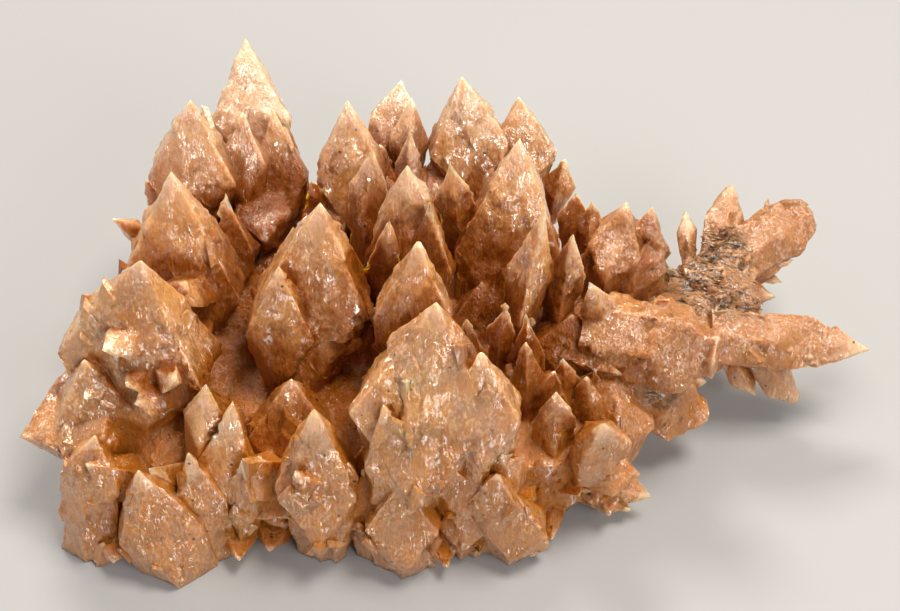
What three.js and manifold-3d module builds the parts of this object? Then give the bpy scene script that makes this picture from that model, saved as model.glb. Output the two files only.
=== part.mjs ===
// A calcite specimen: one natural cluster of honey-coloured dogtooth crystals, grown together on a
// common core and cut off flat underneath, where it broke from its rock. It is one solid piece.
// Millimetres. The origin is on the flat base, under the middle of the specimen. +X runs along the
// specimen to the spray of crystals at its right end, +Y points to its back, and +Z points up.

import * as THREE from "three";
import { mergeVertices } from "three/addons/utils/BufferGeometryUtils.js";
import Module from "manifold-3d";

const wasm = await Module();
wasm.setup();

// Habit of the crystals: a scalenohedron with three sharp edges that end at high shoulders, and three
// blunt edges between them that run further down, so that each side shows a kite-shaped face.
const SIX_SIDED_FROM = 12; // crystals at least this wide show six sides, and narrower ones four
const KEEL_RATIO = 1.62; // where the front's blunt edge ends, as a multiple of the shoulder's distance
const BACK_RATIO = 1.12; // the same for the two blunt edges behind
const SWELL = 1.05; // how far a side swells outwards halfway up, so that the outline is a little convex
const BLUNT_SLOPE = 0.35; // how far a blunt crystal's worn end slopes, as a share of the way to its shoulder
const FOOT = 0.46; // width where a crystal leaves the core, as a share of its widest
const FLATTENED = 0.85; // depth from front to back, as a share of a regular crystal's
const IRREGULAR = 0.07; // how unequal the corners of a natural crystal are
const SWELL_FROM = 17; // crystals at least this wide have swelling sides
const SWELL_AT = 0.5; // where they swell most, as a share of the way down to the shoulder
const LOWEST_SHOULDER = 0.62; // as a share of the crystal's length
const LOWEST_KEEL = 0.9;

// Parallel growth: smaller crystals of the same orientation that step out of a larger one's sides.
const STEP_SIZE = [0.26, 0.46]; // width of a step, as a share of the crystal that carries it
const STEP_STANDS_OUT = 0.2; // how far a step's tip stands out, as a share of its own width
const STEP_SET_IN = 0.86; // where it stands out from, as a share of its carrier's reach there
const STEP_LENGTH = 2.1; // length of a step, as a share of its width
const STEP_SHOULDER = [0.9, 1.15]; // distance from its tip to its shoulders, as a share of its width
const STEP_LEAN = 0.35; // how far its root moves in, as a share of its distance from the carrier's axis
const STEP_FOOT = 0.75;
const STEP_TWIST = 0.25; // radians that a step may be turned away from its carrier
const STEP_SPREAD = 0.5; // radians that a step may sit beside its carrier's edge
const HIGHEST_STEP = 0.62; // as a share of the way down to the carrier's shoulder
const LOWEST_STEP = 0.82; // as a share of the carrier's length
const MM_PER_STEP = 11; // a crystal carries one step for each of these millimetres of its width

// The crystals seen on the display side face this way: forwards and up.
const DISPLAY = new THREE.Vector3(0, -0.64, 0.77);

const FLATNESS = 0.18; // faces that differ by less are one face
// What lies below the flat base is cut away, over this depth and breadth.
const CUT_DEPTH = 60;
const CUT_REACH = 300;

// Repeatable numbers from 0 to 1.
function numbersFrom(seed) {
  let state = seed >>> 0;
  return () => {
    state = (state + 0x6d2b79f5) >>> 0;
    let mixed = Math.imul(state ^ (state >>> 15), 1 | state);
    mixed = (mixed + Math.imul(mixed ^ (mixed >>> 7), 61 | mixed)) ^ mixed;
    return ((mixed ^ (mixed >>> 14)) >>> 0) / 4294967296;
  };
}

const between = (low, high, share) => low + (high - low) * share;
const spread = (reach, share) => between(-reach, reach, share);

// A closed solid from a surface.
function solidFrom(geometry) {
  geometry.deleteAttribute("normal");
  geometry.deleteAttribute("uv");
  const { attributes, index } = mergeVertices(geometry);
  const triVerts = new Uint32Array(index.array);
  const vertProperties = attributes.position.array;
  return new wasm.Manifold(new wasm.Mesh({ numProp: 3, vertProperties, triVerts }));
}

// A closed solid from corners and triangles.
function solidOf(corners, triangles) {
  const surface = new THREE.BufferGeometry();
  surface.setAttribute("position", new THREE.Float32BufferAttribute(corners.flatMap((c) => c.toArray()), 3));
  surface.setIndex(triangles.flat());
  return solidFrom(surface);
}

// The directions of a crystal: along its axis to the tip, across its front face and out of that face.
function directionsOf({ tip, root, roll = 0, facing = DISPLAY }) {
  const axis = new THREE.Vector3(...tip).sub(new THREE.Vector3(...root)).normalize();
  const front = facing.clone().addScaledVector(axis, -facing.dot(axis)).normalize();
  front.applyAxisAngle(axis, THREE.MathUtils.degToRad(roll));
  return { axis, front, side: new THREE.Vector3().crossVectors(axis, front) };
}

// Sizes that follow from a crystal's stated ones.
function measuresOf({ tip, root, wide, shoulder, deep = FLATTENED }) {
  const length = new THREE.Vector3(...tip).distanceTo(new THREE.Vector3(...root));
  const high = Math.min(shoulder, LOWEST_SHOULDER * length);
  const sides = wide >= SIX_SIDED_FROM ? 6 : 4;
  const radius = wide / (2 * Math.sin(sides === 6 ? Math.PI / 3 : Math.PI / 2));
  return { length, high, keel: Math.min(high * KEEL_RATIO, LOWEST_KEEL * length), radius, deep, sides };
}

// One crystal, from its tip down to its root inside the core.
function crystal(spec, seed) {
  const { axis, front, side } = directionsOf(spec);
  const { length, high, keel, radius, deep, sides } = measuresOf(spec);
  const random = numbersFrom(seed);
  const tip = new THREE.Vector3(...spec.tip);
  const corner = (k, down, size) => {
    const turn = (k * 2 * Math.PI) / sides;
    const r = radius * size * (1 + spread(IRREGULAR, random()));
    return tip
      .clone()
      .addScaledVector(axis, -down)
      .addScaledVector(side, r * Math.sin(turn))
      .addScaledVector(front, r * Math.cos(turn) * deep);
  };
  const ring = (downOf, sizeOf) => [...Array(sides).keys()].map((k) => corner(k, downOf(k), sizeOf(k)));
  const isSharp = (k) => k % 2 === 1;
  const endOf = (k) => {
    const end = isSharp(k) ? high : k === 0 ? keel : high * BACK_RATIO;
    return end * (1 + spread(IRREGULAR, random()));
  };

  const rings = [];
  const swell = SWELL_AT * high;
  const swollen = (k) => (SWELL * swell) / (k === 0 ? keel : high);
  if (spec.blunt) rings.push(ring(() => spec.blunt * BLUNT_SLOPE * high, () => spec.blunt));
  if (spec.wide >= SWELL_FROM) rings.push(ring(() => swell, swollen));
  rings.push(ring(endOf, () => 1));
  rings.push(ring(() => length, () => spec.foot ?? FOOT));

  const corners = [tip, ...rings.flat()];
  const at = (level, k) => 1 + level * sides + (k % sides);
  const last = rings.length - 1;
  const triangles = [];
  for (let k = 0; k < sides; k++) {
    triangles.push([0, at(0, k), at(0, k + 1)]);
    for (let level = 0; level < last; level++) {
      triangles.push([at(level, k), at(level + 1, k), at(level + 1, k + 1)]);
      triangles.push([at(level, k), at(level + 1, k + 1), at(level, k + 1)]);
    }
    if (k > 0 && k < sides - 1) triangles.push([at(last, 0), at(last, k + 1), at(last, k)]);
  }
  return solidOf(corners, triangles);
}

// How far a crystal's side stands from its axis, at a turn from its front and a way down from its tip.
function reachOf({ high, keel, radius, length, sides }, spec, turn, down) {
  const along = (end) => {
    if (down < end) return (radius * down) / end;
    return radius * between(1, spec.foot ?? FOOT, (down - end) / (length - end));
  };
  const bluntness = 0.5 + 0.5 * Math.cos((sides / 2) * turn);
  return between(along(high), along(keel), bluntness);
}

// The steps on a crystal: children of its own orientation, along its edges and on its lower faces.
function stepsOn(spec, seed) {
  const random = numbersFrom(seed * 7919 + 13);
  const { axis, front, side } = directionsOf(spec);
  const sizes = measuresOf(spec);
  const count = spec.steps ?? Math.floor(spec.wide / MM_PER_STEP);
  const made = [];
  for (let n = 0; n < count; n++) {
    const turn = (Math.PI / 3) * ((n * 2 + 1) % 6) + spread(STEP_SPREAD, random());
    const down = between(HIGHEST_STEP * sizes.high, LOWEST_STEP * sizes.length, (n + random()) / count);
    const wide = spec.wide * between(...STEP_SIZE, random());
    const stands = reachOf(sizes, spec, turn, down) * STEP_SET_IN + wide * STEP_STANDS_OUT;
    const outwards = side
      .clone()
      .multiplyScalar(Math.sin(turn) * stands)
      .addScaledVector(front, Math.cos(turn) * stands * sizes.deep);
    const tip = new THREE.Vector3(...spec.tip).addScaledVector(axis, -down).add(outwards);
    const root = tip.clone().addScaledVector(axis, -wide * STEP_LENGTH).addScaledVector(outwards, -STEP_LEAN);
    made.push({
      tip: tip.toArray(),
      root: root.toArray(),
      wide,
      shoulder: wide * between(...STEP_SHOULDER, random()),
      facing: front.clone().applyAxisAngle(axis, spread(STEP_TWIST, random())),
      foot: STEP_FOOT,
    });
  }
  return made;
}

// Left end: a row of spires and broad plates from back to front, with blunt crystals at its foot.
const LEFT_END = [
  { tip: [-54, 64, 74], root: [-53, 41, 30], wide: 20, shoulder: 21 },
  { tip: [-53, 38, 72], root: [-55, 32, 30], wide: 13, shoulder: 15 },
  { tip: [-46, 44, 67], root: [-45, 33, 28], wide: 15, shoulder: 20 },
  { tip: [-43, 48, 58], root: [-48, 44, 34], wide: 9, shoulder: 8 },
  { tip: [-64, 53, 57], root: [-58, 48, 34], wide: 8, shoulder: 8 },
  { tip: [-65, 34, 80], root: [-69, 33, 26], wide: 23, shoulder: 24 },
  { tip: [-79, 27, 58], root: [-71, 35, 34], wide: 8, shoulder: 9 },
  { tip: [-66, 3, 86], root: [-69, 3, 24], wide: 30, shoulder: 36 },
  { tip: [-85, 12, 60], root: [-70, 18, 38], wide: 9, shoulder: 9, roll: 60 },
  { tip: [-70, -25, 86], root: [-80, -20, 20], wide: 36, shoulder: 35, foot: 0.4 },
  { tip: [-86, -33, 60], root: [-84, -30, 14], wide: 24, shoulder: 24 },
  { tip: [-105, -37, 34], root: [-78, -28, 34], wide: 26, shoulder: 16, roll: 30 },
  { tip: [-84, -45, 46], root: [-92, -45, -4], wide: 15, shoulder: 15, foot: 0.95 },
  { tip: [-74, -51, 40], root: [-69, -49, -4], wide: 23, shoulder: 22, foot: 0.8 },
  { tip: [-62, -48, 43], root: [-60, -46, -4], wide: 13, shoulder: 18, foot: 0.9 },
  { tip: [-57, -39, 58], root: [-63, -42, 14], wide: 10, shoulder: 11 },
  { tip: [-51, -41, 54], root: [-58, -46, 2], wide: 13, shoulder: 20 },
  { tip: [-50, -50, 40], root: [-53, -44, -4], wide: 11, shoulder: 18 },
  { tip: [-57, 20, 60], root: [-56, 12, 18], wide: 12, shoulder: 16 },
];

// Small crystals that sit on the broad faces of the front and left plates.
const ON_FACES = [
  { tip: [-66, -14, 60], root: [-62, -3, 51], wide: 11, shoulder: 3, blunt: 0.8, foot: 1, roll: 20 },
  { tip: [-80, -37, 68], root: [-73, -27, 62], wide: 9, shoulder: 5, foot: 1 },
  { tip: [-87, -39, 52], root: [-81, -31, 48], wide: 5, shoulder: 4 },
  { tip: [-76, -39, 57], root: [-73, -31, 51], wide: 6, shoulder: 4, foot: 1 },
  { tip: [-64, -40, 60], root: [-68, -31, 52], wide: 8, shoulder: 5, foot: 1 },
  { tip: [-74, -42, 54], root: [-68, -33, 46], wide: 8, shoulder: 5, foot: 1 },
  { tip: [-37, -57, 38], root: [-33, -48, 32], wide: 7, shoulder: 4, foot: 1 },
];

// Middle: tall plates that stand one before another, the broadest at the very front.
const MIDDLE = [
  { tip: [-30, -9, 88], root: [-36, -12, 22], wide: 29, shoulder: 33 },
  { tip: [-40, -18, 76], root: [-42, -16, 20], wide: 17, shoulder: 24 },
  { tip: [-38, 0, 70], root: [-40, 8, 30], wide: 8, shoulder: 12 },
  { tip: [-38, -31, 50], root: [-40, -37, 4], wide: 22, shoulder: 17 },
  { tip: [-31, -49, 62], root: [-33, -46, -4], wide: 20, shoulder: 29 },
  { tip: [-49, -49, 16], root: [-35, -45, 22], wide: 11, shoulder: 9, roll: 40 },
  { tip: [-28, -53, 32], root: [-29, -49, -4], wide: 10, shoulder: 13 },
  { tip: [-20, -48, 36], root: [-20, -48, -4], wide: 13, shoulder: 15 },
  { tip: [-26, 38, 76], root: [-25, 29, 28], wide: 18, shoulder: 21 },
  { tip: [-19, 17, 80], root: [-24, 14, 24], wide: 11, shoulder: 15, deep: 1.2 },
  { tip: [-36, 27, 58], root: [-31, 31, 26], wide: 11, shoulder: 13 },
  { tip: [-13, 63, 60], root: [-22, 40, 26], wide: 12, shoulder: 10, foot: 0.9 },
  { tip: [-10, 50, 66], root: [-12, 43, 26], wide: 11, shoulder: 13, deep: 1.2 },
  { tip: [-10, 27, 76], root: [-11, 30, 30], wide: 7, shoulder: 12, deep: 1.8, steps: 0 },
  { tip: [-10, 1, 90], root: [-11, 2, 24], wide: 17, shoulder: 23 },
  { tip: [-5, -4, 82], root: [-7, 3, 26], wide: 13, shoulder: 24 },
  { tip: [-14, -10, 84], root: [-19, -3, 24], wide: 11, shoulder: 24 },
  { tip: [-7, -22, 90], root: [-11, -22, 20], wide: 18, shoulder: 25 },
  { tip: [-3, -40, 89], root: [-9, -43, 14], wide: 33, shoulder: 34, foot: 0.34 },
  { tip: [7, -44, 77], root: [6, -45, 14], wide: 19, shoulder: 21, foot: 0.4, steps: 0 },
  { tip: [-10, -46, 70], root: [-9, -57, 32], wide: 3.5, shoulder: 10, steps: 0 },
  { tip: [-15, -51, 66], root: [-11, -46, 10], wide: 13, shoulder: 20 },
  { tip: [-12, -54, 38], root: [-12, -48, -4], wide: 18, shoulder: 17, foot: 0.8 },
  { tip: [9, -45, 62], root: [11, -41, 26], wide: 12, shoulder: 17 },
  { tip: [5, -49, 50], root: [1, -46, 2], wide: 14, shoulder: 18 },
  { tip: [11, -53, 42], root: [9, -45, 2], wide: 12, shoulder: 12, foot: 0.9 },
  { tip: [16, -51, 30], root: [15, -47, -4], wide: 16, shoulder: 14 },
  { tip: [4, -49, 28], root: [3, -46, -4], wide: 13, shoulder: 12 },
];

// Right of the middle: blades and plates that get smaller towards the right end.
const RIGHT_SIDE = [
  { tip: [3, 50, 73], root: [8, 41, 28], wide: 21, shoulder: 20 },
  { tip: [18, 51, 65], root: [21, 42, 26], wide: 17, shoulder: 16 },
  { tip: [31, 45, 48], root: [27, 40, 28], wide: 9, shoulder: 8 },
  { tip: [17, 17, 83], root: [12, 4, 22], wide: 26, shoulder: 29, foot: 0.8 },
  { tip: [8, 0, 50], root: [8, -6, 20], wide: 20, shoulder: 16 },
  { tip: [30, -13, 52], root: [28, -12, 20], wide: 16, shoulder: 9, foot: 0.95 },
  { tip: [0, 13, 78], root: [5, 15, 26], wide: 10, shoulder: 12 },
  { tip: [22, -9, 85], root: [14, -10, 20], wide: 11, shoulder: 19, deep: 1.6 },
  { tip: [29, -10, 78], root: [26, -3, 24], wide: 10, shoulder: 17, deep: 1.4 },
  { tip: [13, -22, 67], root: [11, -17, 26], wide: 7, shoulder: 12 },
  { tip: [18, -22, 63], root: [21, -22, 22], wide: 9, shoulder: 16 },
  { tip: [18, -28, 60], root: [20, -28, 16], wide: 11, shoulder: 17 },
  { tip: [25, -38, 54], root: [26, -34, 12], wide: 11, shoulder: 13, foot: 0.95 },
  { tip: [27, -28, 54], root: [30, -24, 20], wide: 9, shoulder: 12 },
  { tip: [33, -29, 48], root: [35, -27, 18], wide: 10, shoulder: 12 },
  { tip: [4, -20, 59], root: [5, -14, 26], wide: 5, shoulder: 8, steps: 0 },
  { tip: [33, 29, 52], root: [32, 24, 24], wide: 8, shoulder: 8 },
  { tip: [37, 27, 50], root: [36, 22, 24], wide: 8, shoulder: 7 },
  { tip: [41, 24, 48], root: [38, 19, 24], wide: 8, shoulder: 6 },
  { tip: [44, 12, 66], root: [36, 3, 24], wide: 13, shoulder: 12, deep: 1.3 },
  { tip: [51, 14, 62], root: [43, 3, 22], wide: 14, shoulder: 14, deep: 1.2 },
  { tip: [53, 8, 56], root: [49, 5, 24], wide: 10, shoulder: 11 },
  { tip: [67, -22, 47], root: [34, -12, 44], wide: 19, shoulder: 9, blunt: 0.6, foot: 0.9, roll: 25 },
  { tip: [33, -16, 68], root: [42, -8, 32], wide: 10, shoulder: 14 },
  { tip: [54, -11, 56], root: [42, -8, 38], wide: 9, shoulder: 6, roll: 30 },
  { tip: [67, -18, 17], root: [38, -15, 26], wide: 17, shoulder: 9, blunt: 0.4, roll: 20 },
  { tip: [66, -13, 25], root: [48, -12, 30], wide: 10, shoulder: 7 },
  { tip: [51, -28, 25], root: [28, -24, 28], wide: 13, shoulder: 7, blunt: 0.4, foot: 0.9, roll: 20 },
  { tip: [36, -37, 33], root: [37, -38, 8], wide: 10, shoulder: 8 },
  { tip: [48, -37, 18], root: [30, -36, 20], wide: 12, shoulder: 7 },
  { tip: [52, -38, 9], root: [34, -36, 14], wide: 7, shoulder: 6, steps: 0 },
  { tip: [47, -40, 6], root: [32, -38, 12], wide: 7, shoulder: 6, steps: 0 },
];

// Right end: a spray of crystals on a stained knob, pointing away from the rest.
const SPRAY = [
  { tip: [76, 41, 42], root: [70, 17, 30], wide: 11, shoulder: 9, blunt: 0.3, foot: 0.9 },
  { tip: [63, 34, 40], root: [64, 18, 30], wide: 6, shoulder: 6, steps: 0 },
  { tip: [97, 33, 40], root: [67, 14, 32], wide: 14, shoulder: 9, blunt: 0.5, foot: 0.9 },
  { tip: [89, 20, 26], root: [72, 22, 32], wide: 9, shoulder: 7 },
  { tip: [87, 13, 28], root: [68, 11, 34], wide: 7, shoulder: 6, steps: 0 },
  { tip: [109, -5, 28], root: [66, -4, 33], wide: 14, shoulder: 17, foot: 1 },
  { tip: [92, -8, 10], root: [74, -3, 32], wide: 10, shoulder: 8, blunt: 0.4 },
  { tip: [81, -8, 12], root: [70, -2, 28], wide: 8, shoulder: 7 },
];

// The core's outline, station by station along its length: how far it reaches to the front, to the
// back, up, and down to its underside.
const CORE = [
  { x: -94, front: -38, back: -12, top: 22, under: 2 },
  { x: -84, front: -48, back: 16, top: 34, under: -6 },
  { x: -70, front: -52, back: 40, top: 38, under: -6 },
  { x: -54, front: -48, back: 44, top: 33, under: -6 },
  { x: -40, front: -46, back: 26, top: 32, under: -6 },
  { x: -24, front: -50, back: 40, top: 38, under: -6 },
  { x: -8, front: -52, back: 46, top: 41, under: -6 },
  { x: 10, front: -48, back: 44, top: 40, under: -6 },
  { x: 26, front: -44, back: 36, top: 39, under: -6 },
  { x: 42, front: -38, back: 22, top: 40, under: -2 },
  { x: 56, front: -14, back: 20, top: 38, under: 8 },
  { x: 70, front: -8, back: 26, top: 42, under: 14 },
  { x: 80, front: 0, back: 20, top: 38, under: 20 },
];
const CORE_SIDES = 12;
const CORE_ROUGH = 0.1; // how uneven the core is, as a share of its half breadth
const CORE_JITTER = 2; // millimetres along its length

// The lump that every crystal grows out of, lofted through its stations.
function core() {
  const random = numbersFrom(5);
  const corners = CORE.flatMap(({ x, front, back, top, under }) =>
    [...Array(CORE_SIDES).keys()].map((k) => {
      const turn = (2 * Math.PI * k) / CORE_SIDES;
      const rough = 1 + spread(CORE_ROUGH, random());
      const y = (front + back) / 2 + ((back - front) / 2) * Math.cos(turn) * rough;
      const z = (top + under) / 2 + ((top - under) / 2) * Math.sin(turn) * rough;
      return new THREE.Vector3(x + spread(CORE_JITTER, random()), y, z);
    }),
  );
  const at = (station, k) => station * CORE_SIDES + (k % CORE_SIDES);
  const end = CORE.length - 1;
  const triangles = [];
  for (let k = 0; k < CORE_SIDES; k++) {
    for (let station = 0; station < end; station++) {
      triangles.push([at(station, k), at(station + 1, k + 1), at(station + 1, k)]);
      triangles.push([at(station, k), at(station, k + 1), at(station + 1, k + 1)]);
    }
    if (k > 0 && k < CORE_SIDES - 1) {
      triangles.push([at(0, 0), at(0, k + 1), at(0, k)]);
      triangles.push([at(end, 0), at(end, k), at(end, k + 1)]);
    }
  }
  return solidOf(corners, triangles);
}

// The core's outline at a place along its length.
function stationAt(x) {
  const next = CORE.findIndex((station) => station.x > x);
  const [a, b] = [CORE[Math.max(next - 1, 0)], CORE[next < 0 ? CORE.length - 1 : next]];
  const share = a === b ? 0 : (x - a.x) / (b.x - a.x);
  return Object.fromEntries(Object.keys(a).map((key) => [key, between(a[key], b[key], share)]));
}

// Rows of crystals that lean outwards from the foot of the specimen, along its back and its front.
const ROWS = [
  { towards: 1, height: 9, rise: 0.1, spacing: 16, wide: 16, from: -80, to: 40 },
  { towards: 1, height: 24, rise: 0.5, spacing: 16, wide: 17, from: -76, to: 62 },
  { towards: 1, height: 36, rise: 1, spacing: 16, wide: 15, from: -66, to: 20 },
  { towards: -1, height: 2, rise: 0.25, spacing: 14, wide: 15, from: -84, to: 48 },
  { towards: -1, height: 14, rise: 0.4, spacing: 12, wide: 13, from: -20, to: 40 },
];
const ROW_ROOT = 14; // how far inside the core a row's crystals start
const ROW_ABOVE_UNDERSIDE = 8; // no root of a row is nearer to the core's underside
const ROW_STANDS_OUT = [0.25, 0.6]; // how far they stand out of it, as a share of their width
const ROW_SIZES = [0.75, 1.2]; // how much they differ from the row's width
const ROW_SHOULDER = 0.9;
const ROW_TILT = 0.3; // how far they lean along the row, as a slope
const ROW_UNEVEN = 0.15; // how uneven their spacing is
const ROW_ROLL = 40; // degrees

function rowCrystals() {
  const random = numbersFrom(77);
  return ROWS.flatMap(({ towards, height, rise, spacing, wide, from, to }) => {
    const made = [];
    for (let x = from; x < to; x += spacing * (1 + spread(ROW_UNEVEN, random()))) {
      const station = stationAt(x);
      const size = wide * between(...ROW_SIZES, random());
      const edge = towards > 0 ? station.back : station.front;
      const lowest = station.under + ROW_ABOVE_UNDERSIDE;
      const start = new THREE.Vector3(x, edge - towards * ROW_ROOT, Math.max(height, lowest));
      const out = new THREE.Vector3(spread(ROW_TILT, random()), towards, rise).normalize();
      const tip = start.clone().addScaledVector(out, ROW_ROOT + size * between(...ROW_STANDS_OUT, random()));
      made.push({
        tip: tip.toArray(),
        root: start.toArray(),
        wide: size,
        shoulder: size * ROW_SHOULDER,
        facing: new THREE.Vector3(0, towards * ROW_TILT, 1),
        roll: spread(ROW_ROLL, random()),
        steps: 0,
      });
    }
    return made;
  });
}

// Crystals between the tall ones, over the whole top of the core, so that no core shows there.
const FILL_SPACING = 16;
const FILL_WIDE = [9, 14];
const FILL_FROM = -78;
const FILL_TO = 52;
const FILL_MARGIN = 7; // how far the first and the last of them stay inside the core's edges
const FILL_ROOT = 18; // how far below the core's top they start
const FILL_OFF_GRID = 4;
const FILL_STANDS_OUT = [0.5, 1.1]; // how far they stand out of the core, as a share of their width
const FILL_SHOULDER = [0.9, 1.3];
const FILL_TILT = 0.2; // how far they lean at random, as a slope
const FILL_FAN = { x: 260, y: 110 }; // they fan out from a line this far below them
const FILL_ROLL = 30; // degrees
const FILL_FOOT = 0.9;

function fillCrystals() {
  const random = numbersFrom(31);
  const made = [];
  for (let x = FILL_FROM; x < FILL_TO; x += FILL_SPACING) {
    const station = stationAt(x);
    for (let y = station.front + FILL_MARGIN; y < station.back - FILL_MARGIN; y += FILL_SPACING) {
      const size = between(...FILL_WIDE, random());
      const start = new THREE.Vector3(x, y, station.top - FILL_ROOT);
      start.x += spread(FILL_OFF_GRID, random());
      start.y += spread(FILL_OFF_GRID, random());
      const out = new THREE.Vector3(x / FILL_FAN.x, y / FILL_FAN.y, 1);
      out.x += spread(FILL_TILT, random());
      const stands = FILL_ROOT + size * between(...FILL_STANDS_OUT, random());
      const tip = start.clone().addScaledVector(out.normalize(), stands);
      made.push({
        tip: tip.toArray(),
        root: start.toArray(),
        wide: size,
        shoulder: size * between(...FILL_SHOULDER, random()),
        roll: spread(FILL_ROLL, random()),
        foot: FILL_FOOT,
        steps: 0,
      });
    }
  }
  return made;
}

// Every crystal with its steps, joined to the core and cut flat at the base.
function cluster() {
  const displayed = [...LEFT_END, ...ON_FACES, ...MIDDLE, ...RIGHT_SIDE, ...SPRAY];
  const grown = [...displayed, ...rowCrystals(), ...fillCrystals()];
  const all = grown.flatMap((spec, n) => [spec, ...stepsOn(spec, n + 1)]);
  const joined = wasm.Manifold.union([core(), ...all.map((spec, n) => crystal(spec, n + 1))]);
  const below = new THREE.BoxGeometry(CUT_REACH, CUT_REACH, CUT_DEPTH).translate(0, 0, -CUT_DEPTH / 2);
  const bodies = joined.subtract(solidFrom(below)).simplify(FLATNESS).decompose();
  return bodies.reduce((a, b) => (b.volume() > a.volume() ? b : a));
}

// The surface of a closed solid.
function surfaceOf(solid) {
  const { vertProperties, triVerts } = solid.getMesh();
  const surface = new THREE.BufferGeometry();
  surface.setAttribute("position", new THREE.BufferAttribute(vertProperties, 3));
  surface.setIndex(new THREE.BufferAttribute(triVerts, 1));
  return surface;
}

const honey = { color: 0xc98a52, roughness: 0.45, metalness: 0, flatShading: true };
const calcite = new THREE.MeshStandardMaterial(honey);
const specimen = new THREE.Group();
const clusterMesh = new THREE.Mesh(surfaceOf(cluster()), calcite);
clusterMesh.name = "calcite_cluster";
specimen.add(clusterMesh);

export default specimen;
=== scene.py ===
"""Looks of a honey-coloured calcite specimen: dogtooth crystals grown together on a stained core.

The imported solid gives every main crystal. This script cuts its surface finer, wears its edges and raises
the ledges and hillocks of natural growth, adds the small crystals and needles that are too many for the
solid, and dresses all of it as milky, translucent calcite on a plain pale floor.
"""

import logging
import math
from dataclasses import dataclass
from enum import Enum

import bmesh
import bpy
import numpy as np
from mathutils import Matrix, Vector, noise
from mathutils.bvhtree import BVHTree


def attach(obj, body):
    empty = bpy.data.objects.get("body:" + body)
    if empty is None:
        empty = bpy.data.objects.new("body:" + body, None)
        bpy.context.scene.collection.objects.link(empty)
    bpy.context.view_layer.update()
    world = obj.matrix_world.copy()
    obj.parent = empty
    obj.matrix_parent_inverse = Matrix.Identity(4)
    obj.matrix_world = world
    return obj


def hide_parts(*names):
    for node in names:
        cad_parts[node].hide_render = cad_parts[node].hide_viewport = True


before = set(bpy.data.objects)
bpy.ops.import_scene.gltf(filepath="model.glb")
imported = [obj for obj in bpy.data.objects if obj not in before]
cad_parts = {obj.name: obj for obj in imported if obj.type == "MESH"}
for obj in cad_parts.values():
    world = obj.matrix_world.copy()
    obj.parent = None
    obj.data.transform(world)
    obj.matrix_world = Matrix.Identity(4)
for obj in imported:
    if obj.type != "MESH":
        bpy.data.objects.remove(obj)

LOG = logging.getLogger("calcite")
MM = 0.001
NODE = "calcite_cluster"
CM2_IN_M2 = 1e4
NOISE_SEED = 7


class Layer(str, Enum):
    """Names of the values that a mesh carries for its material and for what grows on it."""

    CREVICE = "crevice"
    THIN = "thin"
    EDGE = "edge"
    STAIN = "stain"
    GROWTH = "growth"
    LIE = "lie"
    DENSITY = "density"
    FIBRES = "fibres"


@dataclass(frozen=True)
class Span:
    """A range of values, low to high, and the range that it is stretched over."""

    low: float
    high: float
    to_low: float = 0.0
    to_high: float = 1.0


@dataclass(frozen=True)
class Share:
    """A straight line that turns values into shares, from 0 up to the most."""

    slope: float
    start: float = 0.0
    most: float = 1.0

    def of(self, values: np.ndarray) -> np.ndarray:
        """Gives the share for each value."""
        return np.clip(self.slope * values + self.start, 0, self.most)


def linear(code: str) -> tuple[float, float, float, float]:
    """Turns an sRGB colour into a linear one.

    Args:
        code: Six hex digits, red first.

    Returns:
        Linear red, green and blue, and an alpha of one.
    """
    parts = [int(code[at : at + 2], 16) / 255 for at in (0, 2, 4)]
    red, green, blue = (p / 12.92 if p <= 0.04045 else ((p + 0.055) / 1.055) ** 2.4 for p in parts)
    return red, green, blue, 1.0


def add_node(
    tree: bpy.types.NodeTree,
    kind: str,
    inputs: dict[str | int, object] | None = None,
    **settings: object,
) -> bpy.types.Node:
    """Adds one node to a tree, with its settings, values and links.

    Args:
        tree: The shader or geometry tree that gets the node.
        kind: Blender's name for the kind of node.
        inputs: For each input, a value, or the output that is linked to it.
        settings: The node's own settings.

    Returns:
        The new node.
    """
    made = tree.nodes.new(kind)
    for name, value in settings.items():
        setattr(made, name, value)
    for key, value in (inputs or {}).items():
        if isinstance(value, bpy.types.NodeSocket):
            tree.links.new(value, made.inputs[key])
        else:
            made.inputs[key].default_value = value
    return made


def sum_up(tree: bpy.types.NodeTree, operation: str, *values: object) -> bpy.types.NodeSocket:
    """Does a sum with numbers.

    Args:
        tree: The tree that gets the node.
        operation: Blender's name for the kind of sum.
        values: The numbers or outputs that it is done with.

    Returns:
        The result.
    """
    return add_node(tree, "ShaderNodeMath", dict(enumerate(values)), operation=operation).outputs[0]


def sum_up_vectors(tree: bpy.types.NodeTree, operation: str, *values: object) -> bpy.types.NodeSocket:
    """Does a sum with two vectors, or makes one of length one.

    Args:
        tree: The tree that gets the node.
        operation: Blender's name for the kind of sum.
        values: The vectors or outputs that it is done with.

    Returns:
        The result, a number for a dot product.
    """
    made = add_node(tree, "ShaderNodeVectorMath", dict(enumerate(values)), operation=operation)
    return made.outputs["Value" if operation == "DOT_PRODUCT" else "Vector"]


def scaled(tree: bpy.types.NodeTree, vector: bpy.types.NodeSocket, factor: object) -> bpy.types.NodeSocket:
    """Makes a vector longer or shorter by a number or an output."""
    sockets = {0: vector, "Scale": factor}
    return add_node(tree, "ShaderNodeVectorMath", sockets, operation="SCALE").outputs[0]


def stretch(
    tree: bpy.types.NodeTree, value: bpy.types.NodeSocket, span: Span, **settings: object
) -> bpy.types.NodeSocket:
    """Stretches a range of values over another, with its ends held.

    Args:
        tree: The tree that gets the node.
        value: What is stretched.
        span: The two ranges.
        settings: The node's own settings.

    Returns:
        The stretched value.
    """
    sockets = {"Value": value, 1: span.low, 2: span.high, 3: span.to_low, 4: span.to_high}
    return add_node(tree, "ShaderNodeMapRange", sockets, **settings).outputs["Result"]


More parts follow.
